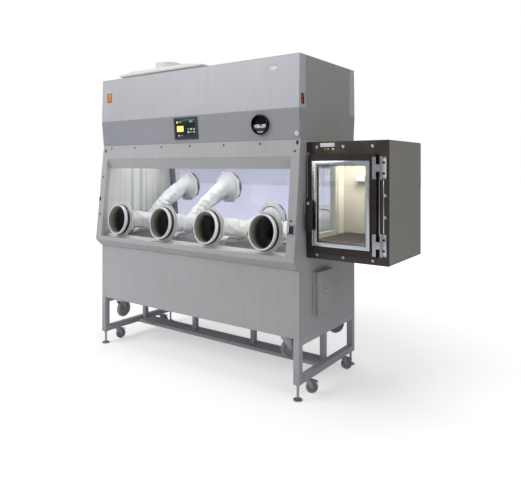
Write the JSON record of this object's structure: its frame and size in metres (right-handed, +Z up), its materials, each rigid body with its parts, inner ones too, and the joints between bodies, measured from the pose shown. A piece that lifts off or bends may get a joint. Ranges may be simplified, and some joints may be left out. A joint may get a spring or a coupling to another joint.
{
  "type": "class iii biosafety cabinet",
  "caption": "Sealed two-sided glove box cabinet on a wheeled stand, with gauntlet ports, a filtered top and a pass-through airlock.",
  "frame": {"origin": "on the floor, under the middle of the whole footprint", "axes": "+X along the cabinet towards the airlock, -Y towards the front, +Z up"},
  "size_m": [2.322, 0.8732, 2.2],
  "materials": {
    "painted_frame": "satin",
    "body_paint": "satin",
    "fascia_paint": "satin",
    "foot_steel": "polished",
    "caster_steel": "satin",
    "caster_tyre": "matte",
    "clear_glass": "polished",
    "clear_plastic": "polished",
    "stainless": "brushed",
    "white_plastic": "gloss",
    "clamp_steel": "satin",
    "white_glove": "satin",
    "display_plastic": "gloss",
    "gauge_metal": "satin",
    "pointer_black": "matte",
    "black_plastic": "matte",
    "rocker_orange": "gloss",
    "lamp_cover": "gloss",
    "filter_frame": "satin",
    "blower_steel": "satin",
    "airlock_steel": "brushed",
    "grate_steel": "satin",
    "door_steel": "brushed",
    "hinge_metal": "polished",
    "chrome": "polished"
  },
  "bodies": {
    "cabinet": {"stand_end_left": "painted_frame", "stand_end_right": "painted_frame", "footrest": "painted_frame", "levelling_feet": "foot_steel", "caster_mounts": "caster_steel", "base_pan": "body_paint", "side_panel_left": "body_paint", "side_panel_right": "body_paint", "apron_front": "body_paint", "apron_back": "body_paint", "sills": "body_paint", "window_frame_front": "body_paint", "window_frame_back": "body_paint", "window_panes": "clear_glass", "chamber_shell": "stainless", "work_tray": "stainless", "port_collars": "white_plastic", "clamp_bands": "clamp_steel", "gauntlets_front": "white_glove", "gauntlets_back": "white_glove", "housing_shell": "body_paint", "fascia_front": "fascia_paint", "fascia_back": "fascia_paint", "exhaust_hood": "fascia_paint", "display_unit": "display_plastic", "gauge_case": "gauge_metal", "switch_frame": "black_plastic", "chamber_lamp": "lamp_cover", "hepa_filter": "filter_frame", "blower_housing": "blower_steel", "airlock_shell": "airlock_steel", "airlock_front_plate": "airlock_steel", "airlock_shelf": "grate_steel", "door_fittings": "hinge_metal"},
    "gauge_pointer": {"gauge_pointer": "pointer_black"},
    "switch_rocker": {"switch_rocker": "rocker_orange"},
    "blower_wheel": {"blower_wheel": "blower_steel"},
    "airlock_door": {"airlock_door": "door_steel", "door_glass": "clear_glass", "hinge_leaves": "hinge_metal"},
    "latch_lever": {"latch_lever": "black_plastic"},
    "inner_door": {"inner_door": "clear_plastic"},
    "hatch_cover": {"hatch_cover": "body_paint"},
    "hatch_latch": {"hatch_latch": "chrome"},
    "small_fork_front_left": {"small_fork_front_left": "caster_steel"},
    "small_wheel_front_left": {"small_wheel_front_left": "caster_tyre"},
    "small_fork_front_right": {"small_fork_front_right": "caster_steel"},
    "small_wheel_front_right": {"small_wheel_front_right": "caster_tyre"},
    "small_fork_back_left": {"small_fork_back_left": "caster_steel"},
    "small_wheel_back_left": {"small_wheel_back_left": "caster_tyre"},
    "small_fork_back_right": {"small_fork_back_right": "caster_steel"},
    "small_wheel_back_right": {"small_wheel_back_right": "caster_tyre"},
    "large_fork_front_left": {"large_fork_front_left": "caster_steel"},
    "large_wheel_front_left": {"large_wheel_front_left": "caster_tyre"},
    "large_fork_front_right": {"large_fork_front_right": "caster_steel"},
    "large_wheel_front_right": {"large_wheel_front_right": "caster_tyre"},
    "large_fork_back_left": {"large_fork_back_left": "caster_steel"},
    "large_wheel_back_left": {"large_wheel_back_left": "caster_tyre"},
    "large_fork_back_right": {"large_fork_back_right": "caster_steel"},
    "large_wheel_back_right": {"large_wheel_back_right": "caster_tyre"}
  },
  "joints": [
    {"name": "small_swivel_front_left", "type": "hinge", "parent": "cabinet", "child": "small_fork_front_left", "pos_m": [-1.133, -0.235, 0.071], "axis": [0, 0, 1], "continuous": true},
    {"name": "small_roll_front_left", "type": "hinge", "parent": "small_fork_front_left", "child": "small_wheel_front_left", "pos_m": [-1.12479, -0.21245, 0.041], "axis": [-0.9397, 0.342, 0], "continuous": true},
    {"name": "small_swivel_front_right", "type": "hinge", "parent": "cabinet", "child": "small_fork_front_right", "pos_m": [0.627, -0.235, 0.071], "axis": [0, 0, 1], "continuous": true},
    {"name": "small_roll_front_right", "type": "hinge", "parent": "small_fork_front_right", "child": "small_wheel_front_right", "pos_m": [0.64666, -0.22123, 0.041], "axis": [-0.5736, 0.8192, 0], "continuous": true},
    {"name": "small_swivel_back_left", "type": "hinge", "parent": "cabinet", "child": "small_fork_back_left", "pos_m": [-1.133, 0.235, 0.071], "axis": [0, 0, 1], "continuous": true},
    {"name": "small_roll_back_left", "type": "hinge", "parent": "small_fork_back_left", "child": "small_wheel_back_left", "pos_m": [-1.121, 0.25578, 0.041], "axis": [-0.866, 0.5, 0], "continuous": true},
    {"name": "small_swivel_back_right", "type": "hinge", "parent": "cabinet", "child": "small_fork_back_right", "pos_m": [0.627, 0.235, 0.071], "axis": [0, 0, 1], "continuous": true},
    {"name": "small_roll_back_right", "type": "hinge", "parent": "small_fork_back_right", "child": "small_wheel_back_right", "pos_m": [0.64778, 0.247, 0.041], "axis": [-0.5, 0.866, 0], "continuous": true},
    {"name": "large_swivel_front_left", "type": "hinge", "parent": "cabinet", "child": "large_fork_front_left", "pos_m": [-1.018, -0.3, 0.2995], "axis": [0, 0, 1], "continuous": true},
    {"name": "large_roll_front_left", "type": "hinge", "parent": "large_fork_front_left", "child": "large_wheel_front_left", "pos_m": [-1.02061, -0.27011, 0.2695], "axis": [-0.9962, -0.0872, 0], "continuous": true},
    {"name": "large_swivel_front_right", "type": "hinge", "parent": "cabinet", "child": "large_fork_front_right", "pos_m": [0.512, -0.3, 0.2995], "axis": [0, 0, 1], "continuous": true},
    {"name": "large_roll_front_right", "type": "hinge", "parent": "large_fork_front_right", "child": "large_wheel_front_right", "pos_m": [0.53657, -0.28279, 0.2695], "axis": [-0.5736, 0.8192, 0], "continuous": true},
    {"name": "large_swivel_back_left", "type": "hinge", "parent": "cabinet", "child": "large_fork_back_left", "pos_m": [-1.018, 0.3, 0.2995], "axis": [0, 0, 1], "continuous": true},
    {"name": "large_roll_back_left", "type": "hinge", "parent": "large_fork_back_left", "child": "large_wheel_back_left", "pos_m": [-1.033, 0.32598, 0.2695], "axis": [-0.866, -0.5, 0], "continuous": true},
    {"name": "large_swivel_back_right", "type": "hinge", "parent": "cabinet", "child": "large_fork_back_right", "pos_m": [0.512, 0.3, 0.2995], "axis": [0, 0, 1], "continuous": true},
    {"name": "large_roll_back_right", "type": "hinge", "parent": "large_fork_back_right", "child": "large_wheel_back_right", "pos_m": [0.527, 0.32598, 0.2695], "axis": [-0.866, 0.5, 0], "continuous": true},
    {"name": "airlock_door_swing", "type": "hinge", "parent": "cabinet", "child": "airlock_door", "pos_m": [1.123, -0.298, 1.16], "axis": [0, 0, 1], "range_deg": [0, 105]},
    {"name": "latch_turn", "type": "hinge", "parent": "airlock_door", "child": "latch_lever", "pos_m": [0.69, -0.32, 1.163], "axis": [0, -1, 0], "range_deg": [0, 90]},
    {"name": "inner_door_swing", "type": "hinge", "parent": "cabinet", "child": "inner_door", "pos_m": [0.659, 0.094, 1.189], "axis": [0, 0, 1], "range_deg": [0, 90]},
    {"name": "hatch_swing", "type": "hinge", "parent": "cabinet", "child": "hatch_cover", "pos_m": [0.6555, -0.212, 0.6025], "axis": [0, 0, -1], "range_deg": [0, 110]},
    {"name": "hatch_latch_turn", "type": "hinge", "parent": "hatch_cover", "child": "hatch_latch", "pos_m": [0.677, -0.098, 0.608], "axis": [1, 0, 0], "range_deg": [0, 90]},
    {"name": "gauge_sweep", "type": "hinge", "parent": "cabinet", "child": "gauge_pointer", "pos_m": [0.369, -0.36584, 1.638], "axis": [0, -0.9959, -0.0908], "range_deg": [-175, 95]},
    {"name": "switch_rock", "type": "hinge", "parent": "cabinet", "child": "switch_rocker", "pos_m": [0.644, -0.332, 1.782], "axis": [0, -1, 0], "range_deg": [0, 8]},
    {"name": "blower_spin", "type": "hinge", "parent": "cabinet", "child": "blower_wheel", "pos_m": [0.217, 0, 1.78], "axis": [0, 1, 0], "continuous": true}
  ]
}
